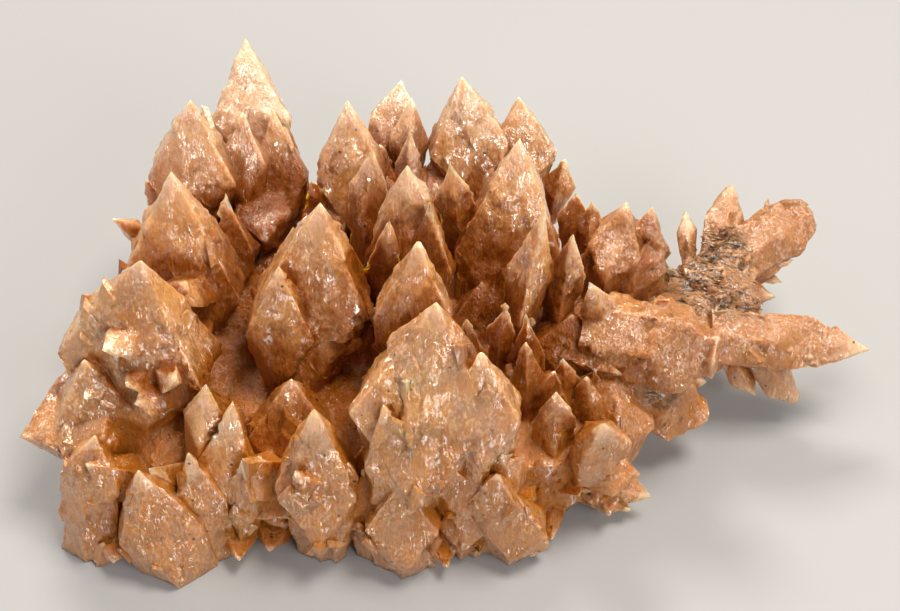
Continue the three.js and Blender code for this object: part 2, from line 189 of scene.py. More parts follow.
def read_layer(tree: bpy.types.NodeTree, layer: Layer, kind: str = "FLOAT") -> bpy.types.NodeSocket:
    """Reads one of the body's own values in a geometry tree."""
    named = add_node(tree, "GeometryNodeInputNamedAttribute", {"Name": layer.value}, data_type=kind)
    return named.outputs["Attribute"]


def vectors_of(mesh: bpy.types.Mesh, name: str) -> np.ndarray:
    """Reads a vector of each vertex, such as its place.

    Args:
        mesh: The mesh.
        name: Blender's name for the vector.

    Returns:
        The vectors, as the rows of an array.
    """
    flat = np.empty(len(mesh.vertices) * 3)
    mesh.vertices.foreach_get(name, flat)
    return flat.reshape(-1, 3)


def move_to(mesh: bpy.types.Mesh, places: np.ndarray) -> None:
    """Moves the vertices of a mesh to other places."""
    mesh.vertices.foreach_set("co", places.ravel())
    mesh.update()


@dataclass(frozen=True)
class CalciteFinish:
    """Calcite, calcium carbonate, grown from water and etched by it.

    Light goes some millimetres into it. Its colour also holds painted light and shade: thin tips get a
    painted glow, edges a painted highlight, high crystals towards the back painted light, and crevices a
    painted shade of darker orange. The right end is browner, and pale etched flecks, in part a painted
    sparkle, lie on open faces. Small facets tilt its surface like sugar, and on parts of it larger ones,
    nearly parallel, glint together.
    """

    name: str = "etched_honey_calcite"
    honey: str = "D6964A"
    amber: str = "BC7422"
    pale: str = "EECBA6"
    # Colour of the painted shade in crevices.
    crevice_shade: str = "8E4A08"
    right_end_brown: str = "9A5C26"
    film: str = "C48C62"
    fibre: str = "A67444"
    dirt: str = "3A2614"
    gloss_roughness: float = 0.09
    ior: float = 1.486
    gloss_ior: float = 1.9
    scatter: float = 0.8
    scatter_mm: tuple[float, float, float] = (3.6, 2.5, 1.2)
    sugar_mm: float = 0.7
    sugar_relief: float = 0.2
    sugar_upright: float = 0.5
    glint_mm: float = 1.25
    glint_tilt: float = 0.45
    glint_way: tuple[float, float, float] = (0.1, -0.18, 0.65)
    spark_mm: float = 0.7
    spark_tilt: float = 0.1
    facet_mm: float = 2.4
    facet_tilt: float = 0.2
    facet_upright: float = 0.4
    cloud_mm: float = 16.0
    cloud_upright: float = 0.3
    frost_sparkle_mm: float = 11.2
    film_mm: float = 12.0
    patch_mm: float = 8.0
    speck_mm: float = 6.0
    grain_mm: float = 0.5
    streak_mm: float = 1.1
    streak_along: float = 0.18
    line_mm: float = 0.6
    line_upright: float = 0.12
    line_height: float = 3.0
    bump_mm: float = 0.16
    bump_strength: float = 0.8
    pale_way: tuple[float, float, float] = (0.0, 0.5, 1.0)
    # Painted light: high crystals towards the back are paler, as if lit from behind.
    painted_light_level: Span = Span(66 * MM, 100 * MM, 0.0, 0.7)
    foot_level: Span = Span(42 * MM, 0.0, 0.0, 0.8)
    brown_across: Span = Span(14 * MM, 54 * MM, 0.0, 0.75)
    dull_across: Span = Span(14 * MM, 54 * MM, 1.0, 0.5)
    gloss_by_crevice: Span = Span(0.3, 0.5, 1.0, 0.08)
    bare_by_crevice: Span = Span(0.24, 0.46, 1.0, 0.0)
    # Painted shade: how much crevices turn a darker orange.
    shade_by_crevice: Span = Span(0.22, 0.52, 0.0, 0.97)
    # Painted glow where light would shine through thin tips.
    glow_by_thin: Span = Span(0.45, 1.0, 0.0, 0.7)
    # Painted highlight along convex edges.
    highlight_by_edge: Span = Span(0.15, 0.8, 0.0, 0.5)
    clouds: Span = Span(0.4, 0.62)
    film_patches: Span = Span(0.46, 0.64, 0.0, 0.5)
    # Pale etched flecks, in part a painted sparkle.
    flecks: Span = Span(0.46, 0.62)
    frost_sparkle: Span = Span(0.4, 0.6, 0.15, 0.55)
    plain_by_colour: Span = Span(0.1, 0.7, 1.0, 0.6)
    fibre_by_stain: Span = Span(0.05, 0.5, 0.0, 0.8)
    streaks: Span = Span(0.4, 0.62)
    dirt_by_stain: Span = Span(0.2, 0.9, 0.0, 0.9)
    specks: Span = Span(0.085, 0.06, 0.0, 0.85)
    glassy_patches: Span = Span(0.42, 0.6, 0.5, 0.3)
    glint_patches: Span = Span(0.44, 0.5)

    def build(self) -> bpy.types.Material:
        """Builds the material.

        Returns:
            The finished material.
        """
        material = bpy.data.materials.new(self.name)
        material.use_nodes = True
        tree = material.node_tree
        tree.nodes.clear()
        place = add_node(tree, "ShaderNodeTexCoord").outputs["Object"]
        facets, glints = self.surface(tree, place)
        patches = self.noise(tree, place, self.patch_mm, detail=3.0)
        roughness = self.ramp(tree, patches, self.glassy_patches)
        shader = add_node(
            tree,
            "ShaderNodeBsdfPrincipled",
            {
                "Base Color": self.body_colour(tree, place),
                "Roughness": roughness,
                "IOR": self.ior,
                "Subsurface Weight": self.scatter,
                "Subsurface Radius": tuple(length * MM for length in self.scatter_mm),
                "Subsurface Scale": 1.0,
                "Normal": facets,
                "Coat Weight": self.coat_weight(tree, place),
                "Coat Roughness": self.gloss_roughness,
                "Coat IOR": self.gloss_ior,
                "Coat Normal": glints,
            },
        )
        add_node(tree, "ShaderNodeOutputMaterial", {"Surface": shader.outputs["BSDF"]})
        return material

    def mixed(
        self,
        tree: bpy.types.NodeTree,
        base: bpy.types.NodeSocket | tuple[float, ...],
        over: str,
        amount: bpy.types.NodeSocket,
    ) -> bpy.types.NodeSocket:
        """Lays a colour over another one.

        Args:
            tree: The material's tree.
            base: The colour below.
            over: The hex code of the colour laid over it.
            amount: How much of that one shows, from 0 to 1.

        Returns:
            The mixed colour.
        """
        sockets = {"Factor": amount, 6: base, 7: linear(over)}
        return add_node(tree, "ShaderNodeMix", sockets, data_type="RGBA").outputs[2]

    def ramp(
        self, tree: bpy.types.NodeTree, value: bpy.types.NodeSocket, span: Span
    ) -> bpy.types.NodeSocket:
        """Stretches a range of values over another softly."""
        return stretch(tree, value, span, interpolation_type="SMOOTHSTEP")

    def noise(
        self, tree: bpy.types.NodeTree, place: bpy.types.NodeSocket, size_mm: float, detail: float = 2.0
    ) -> bpy.types.NodeSocket:
        """Adds soft noise.

        Args:
            tree: The material's tree.
            place: The coordinates that it lies on.
            size_mm: The size of its patches.
            detail: How many finer layers it has.

        Returns:
            The noise, from about 0.3 to 0.7.
        """
        sockets = {"Vector": place, "Scale": 1 / (size_mm * MM), "Detail": detail}
        return add_node(tree, "ShaderNodeTexNoise", sockets).outputs["Fac"]

    def stretched(
        self,
        tree: bpy.types.NodeTree,
        place: bpy.types.NodeSocket,
        along: float = 1.0,
        upright: float = 1.0,
    ) -> bpy.types.NodeSocket:
        """Stretches a pattern along the specimen or upwards, the way the crystals grow.

        Args:
            tree: The material's tree.
            place: The coordinates.
            along: The pattern's scale along X, small for a long pattern.
            upright: The same along Z.

        Returns:
            The stretched coordinates.
        """
        sockets = {"Vector": place, "Scale": (along, 1.0, upright)}
        return add_node(tree, "ShaderNodeMapping", sockets).outputs["Vector"]

    def layer(self, tree: bpy.types.NodeTree, name: Layer) -> bpy.types.NodeSocket:
        """Reads one of the mesh's own values."""
        return add_node(tree, "ShaderNodeAttribute", attribute_name=name.value).outputs["Fac"]

    def across(self, tree: bpy.types.NodeTree, place: bpy.types.NodeSocket) -> bpy.types.NodeSocket:
        """Gives how far to the right a place lies."""
        return add_node(tree, "ShaderNodeSeparateXYZ", {0: place}).outputs[0]

    def coat_weight(self, tree: bpy.types.NodeTree, place: bpy.types.NodeSocket) -> bpy.types.NodeSocket:
        """Gives how much of the surface glints: less in crevices and on the browner right end.

        Args:
            tree: The material's tree.
            place: Object coordinates.

        Returns:
            The weight of the gloss.
        """
        in_the_open = self.ramp(tree, self.layer(tree, Layer.CREVICE), self.gloss_by_crevice)
        dull = self.ramp(tree, self.across(tree, place), self.dull_across)
        return sum_up(tree, "MULTIPLY", in_the_open, dull)

    def body_colour(self, tree: bpy.types.NodeTree, place: bpy.types.NodeSocket) -> bpy.types.NodeSocket:
        """Colours the crystals, painted light and shade included.

        Args:
            tree: The material's tree.
            place: Object coordinates.

        Returns:
            The colour.
        """
        tall = self.stretched(tree, place, upright=self.cloud_upright)
        clouds = self.ramp(tree, self.noise(tree, tall, self.cloud_mm), self.clouds)
        colour = self.mixed(tree, linear(self.honey), self.amber, clouds)
        crevice = self.layer(tree, Layer.CREVICE)
        bare = self.ramp(tree, crevice, self.bare_by_crevice)
        film = self.ramp(tree, self.noise(tree, place, self.film_mm, detail=3.0), self.film_patches)
        colour = self.mixed(tree, colour, self.film, sum_up(tree, "MULTIPLY", film, bare))
        # Painted shade: places hemmed in by nearby crystals turn a darker orange.
        colour = self.mixed(tree, colour, self.crevice_shade, self.ramp(tree, crevice, self.shade_by_crevice))
        # Browner towards the right end.
        right_end_brown = self.ramp(tree, self.across(tree, place), self.brown_across)
        colour = self.mixed(tree, colour, self.right_end_brown, right_end_brown)
        level = sum_up_vectors(tree, "DOT_PRODUCT", place, self.pale_way)
        foot = self.ramp(tree, level, self.foot_level)
        colour = self.mixed(tree, colour, self.amber, foot)
        # Painted light: high crystals towards the back are paler, as if lit from behind.
        colour = self.mixed(tree, colour, self.pale, self.ramp(tree, level, self.painted_light_level))
        thin, edge = self.layer(tree, Layer.THIN), self.layer(tree, Layer.EDGE)
        # Painted glow: thin tips are paler, as if light shone through them.
        colour = self.mixed(tree, colour, self.pale, self.ramp(tree, thin, self.glow_by_thin))
        # Painted highlight: convex edges are paler.
        colour = self.mixed(tree, colour, self.pale, self.ramp(tree, edge, self.highlight_by_edge))
        plain = self.ramp(tree, sum_up(tree, "MAXIMUM", right_end_brown, foot), self.plain_by_colour)
        # Pale etched flecks on open faces, in part a painted sparkle.
        frost_sparkle = sum_up(tree, "MULTIPLY", self.frost_and_sparkle(tree, place), sum_up(tree, "MULTIPLY", bare, plain))
        return self.stained(tree, place, self.mixed(tree, colour, self.pale, frost_sparkle))

    def frost_and_sparkle(self, tree: bpy.types.NodeTree, place: bpy.types.NodeSocket) -> bpy.types.NodeSocket:
        """Gives where fine pale flecks show, more on some parts than on others: etched flecks, and in part
        a painted sparkle.

        Args:
            tree: The material's tree.
            place: Object coordinates.

        Returns:
            How pale each place is, from 0 to 1.
        """
        tall = self.stretched(tree, place, upright=self.sugar_upright)
        flecks = self.ramp(tree, self.noise(tree, tall, self.sugar_mm), self.flecks)
        sparkle_patches = self.ramp(tree, self.noise(tree, place, self.frost_sparkle_mm), self.frost_sparkle)
        return sum_up(tree, "MULTIPLY", flecks, sparkle_patches)

    def stained(
        self, tree: bpy.types.NodeTree, place: bpy.types.NodeSocket, colour: bpy.types.NodeSocket
    ) -> bpy.types.NodeSocket:
        """Lays the knob's brown stain with its dark streaks, and scattered dark specks, over the colour.

        Args:
            tree: The material's tree.
            place: Object coordinates.
            colour: The clean colour.

        Returns:
            The stained colour.
        """
        stain = self.layer(tree, Layer.STAIN)
        colour = self.mixed(tree, colour, self.fibre, self.ramp(tree, stain, self.fibre_by_stain))
        long = self.stretched(tree, place, along=self.streak_along)
        streaks = self.ramp(tree, self.noise(tree, long, self.streak_mm, detail=3.0), self.streaks)
        spread = self.ramp(tree, sum_up(tree, "MULTIPLY", stain, streaks), self.dirt_by_stain)
        colour = self.mixed(tree, colour, self.dirt, spread)
        sockets = {"Vector": place, "Scale": 1 / (self.speck_mm * MM)}
        away = add_node(tree, "ShaderNodeTexVoronoi", sockets).outputs["Distance"]
        return self.mixed(tree, colour, self.dirt, self.ramp(tree, away, self.specks))

    def surface(
        self, tree: bpy.types.NodeTree, place: bpy.types.NodeSocket
    ) -> tuple[bpy.types.NodeSocket, bpy.types.NodeSocket]:
        """Tilts the surface cell by cell, as the small facets of an etched face do, and adds fine lines.

        Args:
            tree: The material's tree.
            place: Object coordinates.

        Returns:
            The direction of the surface, and that of the glossy facets on it.
        """
        grain = self.noise(tree, place, self.grain_mm, detail=1.0)
        tall = self.stretched(tree, place, upright=self.line_upright)
        lines = self.noise(tree, tall, self.line_mm)
        height = sum_up(tree, "MULTIPLY_ADD", lines, self.line_height, grain)
        bump = {"Height": height, "Distance": self.bump_mm * MM, "Strength": self.bump_strength}
        smooth = add_node(tree, "ShaderNodeBump", bump).outputs["Normal"]
        low = self.tilted(tree, place, smooth, self.facet_mm, self.facet_tilt)
        fine = self.tilted(tree, place, low, self.sugar_mm, self.sugar_relief)
        parallel = sum_up_vectors(tree, "ADD", low, self.glint_way)
        steep = self.tilted(tree, place, parallel, self.glint_mm, self.glint_tilt)
        steep = self.tilted(tree, place, steep, self.spark_mm, self.spark_tilt)
        patches = self.ramp(tree, self.noise(tree, place, self.patch_mm), self.glint_patches)
        sockets = {"Factor": patches, 4: low, 5: steep}
        return fine, add_node(tree, "ShaderNodeMix", sockets, data_type="VECTOR").outputs[1]

    def tilted(
        self,
        tree: bpy.types.NodeTree,
        place: bpy.types.NodeSocket,
        normal: bpy.types.NodeSocket,
        size_mm: float,
        tilt: float,
    ) -> bpy.types.NodeSocket:
        """Leans each cell of a pattern of upright facets in a direction of its own.

        Args:
            tree: The material's tree.
            place: Object coordinates.
            normal: The direction that is leaned.
            size_mm: The width of a facet.
            tilt: How far they lean, as a slope.

        Returns:
            The new direction.
        """
        tall = self.stretched(tree, place, upright=self.facet_upright)
        sockets = {"Vector": tall, "Scale": 1 / (size_mm * MM)}
        cells = add_node(tree, "ShaderNodeTexVoronoi", sockets, distance="MANHATTAN").outputs["Color"]
        lean = scaled(tree, sum_up_vectors(tree, "SUBTRACT", cells, (0.5, 0.5, 0.5)), 2 * tilt)
        return sum_up_vectors(tree, "NORMALIZE", sum_up_vectors(tree, "ADD", normal, lean))


@dataclass(frozen=True)
class PaperFinish:
    """Pale matt paper under the specimen, so that nothing but the specimen catches the eye."""

    name: str = "pale_matt_paper"
    shade: str = "A9A8A7"
    roughness: float = 0.85

    def build(self) -> bpy.types.Material:
        """Builds the material.

        Returns:
            The finished material.
        """
        material = bpy.data.materials.new(self.name)
        material.use_nodes = True
        shader = material.node_tree.nodes["Principled BSDF"]
        shader.inputs["Base Color"].default_value = linear(self.shade)
        shader.inputs["Roughness"].default_value = self.roughness
        return material


@dataclass
class GrowthField:
    """Which way the crystals grow at a place: they fan out upwards, and the spray fans out to the right."""

    fan_x_mm: float = 260.0
    fan_y_mm: float = 110.0
    spray_from_mm: float = 56.0
    spray_to_mm: float = 70.0
    spray_centre_mm: tuple[float, float, float] = (52.0, 8.0, 34.0)
    fibre_way: tuple[float, float, float] = (1.0, -0.3, -0.25)
    waver_mm: float = 9.0
    waver: float = 0.45

    def at(self, place: Vector) -> Vector:
        """Gives the direction of growth.

        Args:
            place: A point of the specimen, in metres.

        Returns:
            The direction, of length one.
        """
        up = Vector((place.x / (self.fan_x_mm * MM), place.y / (self.fan_y_mm * MM), 1.0)).normalized()
        spray = (place.x / MM - self.spray_from_mm) / (self.spray_to_mm - self.spray_from_mm)
        spray = min(max(spray, 0.0), 1.0)
        if spray == 0.0:
            return up
        outwards = (place - Vector(self.spray_centre_mm) * MM).normalized()
        return (up * (1 - spray) + outwards * spray).normalized()

    def fibre_at(self, place: Vector) -> Vector:
        """Gives the way that the stained fibres lie at a place."""
        waver = noise.noise_vector(place / (self.waver_mm * MM)) * self.waver
        return (Vector(self.fibre_way) + waver).normalized()


@dataclass
class ClusterBody:
    """The fused crystals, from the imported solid: cut finer, worn along their edges and raised in ledges.

    Each of the stain's places is its x, y and z and how far it reaches.
    """

    growth: GrowthField
    weld_mm: float = 0.02
    first_cut_mm: float = 40.0
    longest_edge_mm: float = 2.15
    cut_ratio: float = 1.4
    cuts_a_round: int = 3
    nearly: float = 0.999
    wear: float = 0.12
    sharp_degrees: float = 38.0
    ledge_mm: float = 8.0
    ledge_height_mm: float = 1.2
    hillock_mm: float = 3.4
    hillock_height_mm: float = 0.55
    upright: float = 0.6
    calm_mm: float = 14.0
    calm_detail: float = 2.0
    calm: Span = Span(0.4, 0.62, 0.2, 1.0)
    sturdy: Span = Span(0.45, 0.8, 1.0, 0.1)
    lumps_in_stain: float = 2.0
    base_keep_mm: float = 0.6
    base_clear_mm: tuple[float, float] = (3.0, 6.0)
    rays: int = 14
    ray_mm: float = 42.0
    ray_start_mm: float = 1.2
    far_share: float = 0.6
    thin_mm: float = 16.0
    thin_start_mm: float = 0.9
    bend_rounds: int = 2
    wide_bend_rounds: int = 12
    edge_by_bend: Share = Share(2.6, -0.1)
    fold_by_bend: Share = Share(-2.0, -0.15, most=0.25)
    face_by_bend: Share = Share(-14.0, 1.2)
    face_by_thin: Share = Share(-3.0, 1.4)
    thin_by_crevice: Share = Share(-1.6, 1.2)
    dirty_by_stain: Share = Share(2.0)
    dense_by_patch: Share = Share(1.6, -0.2)
    fibres_by_stain: Share = Share(1.8, -0.25)
    patch_mm: float = 15.0
    stain_strength: float = 1.6
    stain_uneven: float = 0.35
    stain_uneven_mm: float = 6.0
    stain_places_mm: tuple[tuple[float, float, float, float], ...] = (
        (63.0, 9.0, 42.0, 12.0),
        (70.0, 18.0, 38.0, 12.0),
        (52.0, -20.0, 32.0, 8.0),
        (74.0, 3.0, 36.0, 11.0),
    )

    def build(self, material: bpy.types.Material) -> bpy.types.Object:
        """Builds the body.

        Args:
            material: The finish of its crystals.

        Returns:
            The body, as one object with its values for the material.
        """
        mesh = self.fine_copy()
        body = bpy.data.objects.new("calcite_crystals", mesh)
        bpy.context.scene.collection.objects.link(body)
        body.data.materials.clear()
        body.data.materials.append(material)
        self.store_ways(body.data)
        self.store_layers(body.data)
        self.raise_relief(body, material)
        self.keep_base_flat(body.data)
        body.data.set_sharp_from_angle(angle=math.radians(self.sharp_degrees))
        return body

    def fine_copy(self) -> bpy.types.Mesh:
        """Copies the solid's surface, cuts it until no edge is long, and wears its edges a little.

        Returns:
            The fine mesh.
        """
        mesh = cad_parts[NODE].data.copy()
        mesh.name = "calcite_crystals"
        shape = bmesh.new()
        shape.from_mesh(mesh)
        bmesh.ops.remove_doubles(shape, verts=shape.verts, dist=self.weld_mm * MM)
        bmesh.ops.dissolve_degenerate(shape, edges=shape.edges, dist=self.weld_mm * MM)
        bmesh.ops.triangulate(shape, faces=shape.faces)
        self.cut_long_edges(shape)
        above = [vert for vert in shape.verts if vert.co.z > self.base_keep_mm * MM]
        bmesh.ops.smooth_vert(
            shape, verts=above, factor=self.wear, use_axis_x=True, use_axis_y=True, use_axis_z=True
        )
        shape.to_mesh(mesh)
        shape.free()
        mesh.shade_smooth()
        return mesh

    def cut_long_edges(self, shape: bmesh.types.BMesh) -> None:
        """Cuts the longest edges first, then shorter ones, so that the triangles stay well shaped.

        Args:
            shape: The surface that is cut.
        """
        limit = self.first_cut_mm * MM
        while limit > self.longest_edge_mm * MM:
            limit = max(limit / self.cut_ratio, self.longest_edge_mm * MM)
            for _ in range(self.cuts_a_round):
                longest = [edge for edge in shape.edges if edge.calc_length() > limit and self.leads(edge)]
                if not longest:
                    break
                bmesh.ops.subdivide_edges(shape, edges=longest, cuts=1)
                cut = [face for face in shape.faces if len(face.verts) > 3]
                bmesh.ops.triangulate(shape, faces=cut, quad_method="SHORT_EDGE")

    def leads(self, edge: bmesh.types.BMEdge) -> bool:
        """Tells whether an edge is the longest of a triangle beside it, or very nearly.

        Args:
            edge: The edge.

        Returns:
            True if it is.
        """
        longest = (max(side.calc_length() for side in face.edges) for face in edge.link_faces)
        return any(edge.calc_length() >= self.nearly * length for length in longest)

    def raise_relief(self, body: bpy.types.Object, material: bpy.types.Material) -> None:
        """Raises ledges and hillocks on the body, and turns the result into its own mesh.

        The relief is calmer in patches and near tips, and rougher where the body is stained.

        Args:
            body: The body.
            material: The finish of its crystals.
        """
        tree = bpy.data.node_groups.new("growth_relief", "GeometryNodeTree")
        sizes = {
            "Ledge Size": self.ledge_mm * MM,
            "Ledge Height": self.ledge_height_mm * MM,
            "Hillock Size": self.hillock_mm * MM,
            "Hillock Height": self.hillock_height_mm * MM,
        }
        made = start_tree(tree, sizes)
        place = add_node(tree, "GeometryNodeInputPosition").outputs[0]
        tall = sum_up_vectors(tree, "MULTIPLY", place, (1.0, 1.0, self.upright))
        ledges, hillocks = (self.steps(tree, tall, made, kind) for kind in ("Ledge", "Hillock"))
        total = sum_up(tree, "ADD", ledges, hillocks)
        sockets = {"Vector": place, "Scale": 1 / (self.calm_mm * MM), "Detail": self.calm_detail}
        patches = add_node(tree, "ShaderNodeTexNoise", sockets).outputs["Fac"]
        total = sum_up(tree, "MULTIPLY", total, stretch(tree, patches, self.calm))
        stain = read_layer(tree, Layer.STAIN)
        lumpy = sum_up(tree, "MULTIPLY_ADD", stain, self.lumps_in_stain, 1.0)
        total = sum_up(tree, "MULTIPLY", total, lumpy)
        thin = read_layer(tree, Layer.THIN)
        total = sum_up(tree, "MULTIPLY", total, stretch(tree, thin, self.sturdy))
        offset = scaled(tree, add_node(tree, "GeometryNodeInputNormal").outputs["Normal"], total)
        moved = {"Geometry": made.outputs["Geometry"], "Offset": offset}
        end_tree(tree, add_node(tree, "GeometryNodeSetPosition", moved).outputs["Geometry"], material)
        bake_tree(body, tree, sizes)

    def steps(
        self, tree: bpy.types.NodeTree, tall: bpy.types.NodeSocket, made: bpy.types.Node, kind: str
    ) -> bpy.types.NodeSocket:
        """Gives the height of one kind of relief: cells of uneven height that slant with the growth.

        Args:
            tree: The geometry tree.
            tall: The coordinates, stretched upwards.
            made: The node that the tree's inputs come from.
            kind: Which relief it is, as in the names of its inputs.

        Returns:
            The height, in metres.
        """
        size = made.outputs[f"{kind} Size"]
        sockets = {"Vector": tall, "Scale": sum_up(tree, "DIVIDE", 1.0, size)}
        cells = add_node(tree, "ShaderNodeTexVoronoi", sockets, distance="MANHATTAN")
        within = sum_up_vectors(tree, "SUBTRACT", cells.outputs["Position"], tall)
        growth = read_layer(tree, Layer.GROWTH, "FLOAT_VECTOR")
        slant = sum_up(tree, "DIVIDE", sum_up_vectors(tree, "DOT_PRODUCT", within, growth), size)
        level = add_node(tree, "ShaderNodeSeparateXYZ", {0: cells.outputs["Color"]}).outputs[0]
        centred = sum_up(tree, "SUBTRACT", sum_up(tree, "ADD", slant, level), 0.5)
        return sum_up(tree, "MULTIPLY", centred, made.outputs[f"{kind} Height"])

    def keep_base_flat(self, mesh: bpy.types.Mesh) -> None:
        """Puts the base back on its plane after the relief, and lets nothing hang below it."""
        places = vectors_of(mesh, "co")
        places[places[:, 2] < self.base_keep_mm * MM, 2] = 0.0
        move_to(mesh, places)

    def store_layers(self, mesh: bpy.types.Mesh) -> None:
        """Works out, vertex by vertex, what the material and the small crystals need to know.

        Args:
            mesh: The body's mesh.
        """
        crevice, thin = self.feel_around(mesh)
        places = [vert.co.copy() for vert in mesh.vertices]
        stain = np.array([self.stain_at(place) for place in places])
        patches = np.array([0.5 + noise.noise(place / (self.patch_mm * MM)) for place in places])
        clear_from, clear_over = self.base_clear_mm
        off_base = np.clip((np.array([place.z for place in places]) / MM - clear_from) / clear_over, 0, 1)
        clean = 1 - self.dirty_by_stain.of(stain)
        bend = self.bends(mesh, self.bend_rounds)
        wide_bend = np.abs(self.bends(mesh, self.wide_bend_rounds))
        on_face = self.face_by_bend.of(wide_bend) * self.face_by_thin.of(thin)
        crevice = crevice + self.fold_by_bend.of(bend)
        self.store(mesh, Layer.EDGE, self.edge_by_bend.of(bend))
        self.store(mesh, Layer.CREVICE, crevice)
        self.store(mesh, Layer.THIN, thin * self.thin_by_crevice.of(crevice))
        self.store(mesh, Layer.STAIN, stain)
        self.store(mesh, Layer.DENSITY, self.dense_by_patch.of(patches) * clean * off_base * on_face)
        self.store(mesh, Layer.FIBRES, self.fibres_by_stain.of(stain) * off_base)

    def store(self, mesh: bpy.types.Mesh, layer: Layer, values: np.ndarray) -> None:
        """Stores one value for each vertex."""
        made = mesh.attributes.new(layer.value, "FLOAT", "POINT")
        made.data.foreach_set("value", values.astype(np.float32))

    def feel_around(self, mesh: bpy.types.Mesh) -> tuple[np.ndarray, np.ndarray]:
        """Casts rays from each vertex, outwards for nearby crystals and inwards for the far side.

        Args:
            mesh: The body's mesh.

        Returns:
            For each vertex, how much it lies in a crevice and how thin the body is there, from 0 to 1.
        """
        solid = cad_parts[NODE].data
        tree = BVHTree.FromPolygons(
            [vert.co for vert in solid.vertices], [tuple(face.vertices) for face in solid.polygons]
        )
        reach, thickness = self.ray_mm * MM, self.thin_mm * MM
        crevice, thin = np.zeros((2, len(mesh.vertices)))
        around = self.directions()
        for at, vert in enumerate(mesh.vertices):
            place, normal = vert.co.copy(), vert.normal.copy()
            start = place + normal * (self.ray_start_mm * MM)
            covered = 0.0
            for direction in around:
                way = direction if direction.dot(normal) > 0 else -direction
                hit = tree.ray_cast(start, way, reach)
                if hit[0] is not None:
                    covered += 1 - self.far_share * hit[3] / reach
            crevice[at] = covered / len(around)
            inside = tree.ray_cast(place - normal * (self.thin_start_mm * MM), -normal, thickness)
            thin[at] = 0.0 if inside[0] is None else 1 - inside[3] / thickness
        return crevice, thin

    def store_ways(self, mesh: bpy.types.Mesh) -> None:
        """Stores which way the crystals and the stained fibres grow at each vertex."""
        for layer, way in ((Layer.GROWTH, self.growth.at), (Layer.LIE, self.growth.fibre_at)):
            ways = np.array([way(vert.co) for vert in mesh.vertices], dtype=np.float32)
            made = mesh.attributes.new(layer.value, "FLOAT_VECTOR", "POINT")
            made.data.foreach_set("vector", ways.ravel())

    def bends(self, mesh: bpy.types.Mesh, rounds: int) -> np.ndarray:
        """Works out how the surface bends around each vertex.

        Args:
            mesh: The body's mesh.
            rounds: How many times the result is spread to its neighbours.

        Returns:
            For each vertex, above 0 on an edge, about 0 on a face and below 0 in a fold.
        """
        places, normals = vectors_of(mesh, "co"), vectors_of(mesh, "normal")
        pairs = np.empty(len(mesh.edges) * 2, dtype=np.int32)
        mesh.edges.foreach_get("vertices", pairs)
        pairs = np.concatenate([pairs.reshape(-1, 2), pairs.reshape(-1, 2)[:, ::-1]])
        ways = places[pairs[:, 0]] - places[pairs[:, 1]]
        lengths = np.maximum(np.linalg.norm(ways, axis=1), 1e-9)
        bend = np.einsum("ij,ij->i", normals[pairs[:, 0]], ways) / lengths
        counts = np.maximum(np.bincount(pairs[:, 0], minlength=len(places)), 1)
        bend = np.bincount(pairs[:, 0], bend, len(places)) / counts
        for _ in range(rounds):
            around = np.bincount(pairs[:, 0], bend[pairs[:, 1]], len(places)) / counts
            bend = 0.5 * bend + 0.5 * around
        return bend

    def directions(self) -> list[Vector]:
        """Spreads the rays that look for nearby crystals evenly over a sphere."""
        turn = math.pi * (3 - math.sqrt(5))
        made = []
        for n in range(self.rays):
            z = 1 - 2 * (n + 0.5) / self.rays
            r = math.sqrt(1 - z * z)
            made.append(Vector((r * math.cos(turn * n), r * math.sin(turn * n), z)))
        return made

    def stain_at(self, place: Vector) -> float:
        """Gives how dirty the surface is at a place.

        Args:
            place: A point of the body, in metres.

        Returns:
            From 0, clean, to 1, stained dark.
        """
        strength = 0.0
        for x, y, z, reach in self.stain_places_mm:
            away = (place - Vector((x, y, z)) * MM).length / (reach * MM)
            strength = max(strength, 1 - away)
        if strength <= 0:
            return 0.0
        uneven = self.stain_uneven * noise.noise(place / (self.stain_uneven_mm * MM))
        return min(max(strength * self.stain_strength + uneven, 0.0), 1.0)


def start_tree(tree: bpy.types.NodeTree, sizes: dict[str, float]) -> bpy.types.Node:
    """Gives a geometry tree its inputs and output.

    Args:
        tree: The empty tree.
        sizes: Its inputs, by name, with their usual values.

    Returns:
        The node that its inputs come from.
    """
    tree.interface.new_socket("Geometry", in_out="INPUT", socket_type="NodeSocketGeometry")
    for name, value in sizes.items():
        socket = tree.interface.new_socket(name, in_out="INPUT", socket_type="NodeSocketFloat")
        socket.default_value = value
    tree.interface.new_socket("Geometry", in_out="OUTPUT", socket_type="NodeSocketGeometry")
    return tree.nodes.new("NodeGroupInput")


def end_tree(
    tree: bpy.types.NodeTree, geometry: bpy.types.NodeSocket, material: bpy.types.Material
) -> None:
    """Makes a geometry tree's result real and gives it its finish.

    Args:
        tree: The tree.
        geometry: Its result so far.
        material: The finish.
    """
    real = add_node(tree, "GeometryNodeRealizeInstances", {"Geometry": geometry}).outputs["Geometry"]
    dressed = add_node(tree, "GeometryNodeSetMaterial", {"Geometry": real, "Material": material})
    add_node(tree, "NodeGroupOutput", {"Geometry": dressed.outputs["Geometry"]})


def bake_tree(target: bpy.types.Object, tree: bpy.types.NodeTree, sizes: dict[str, float]) -> None:
    """Runs a geometry tree on an object and keeps the result as the object's own mesh.

    Args:
        target: The object.
        tree: The tree.
        sizes: Values for its named inputs.
    """
    modifier = target.modifiers.new(tree.name, "NODES")
    modifier.node_group = tree
    names = {item.name: item.identifier for item in tree.interface.items_tree if item.in_out == "INPUT"}
    for name, value in sizes.items():
        modifier[names[name]] = value
    graph = bpy.context.evaluated_depsgraph_get()
    mesh = bpy.data.meshes.new_from_object(target.evaluated_get(graph), depsgraph=graph)
    target.modifiers.remove(modifier)
    old = target.data
    target.data = mesh
    mesh.name = target.name
    bpy.data.meshes.remove(old)


class Habit(Enum):
    """Shapes that the small crystals take."""

    KITE = "a flat kite that steps out of a larger crystal's side"
    FIBRE = "a long thin needle"


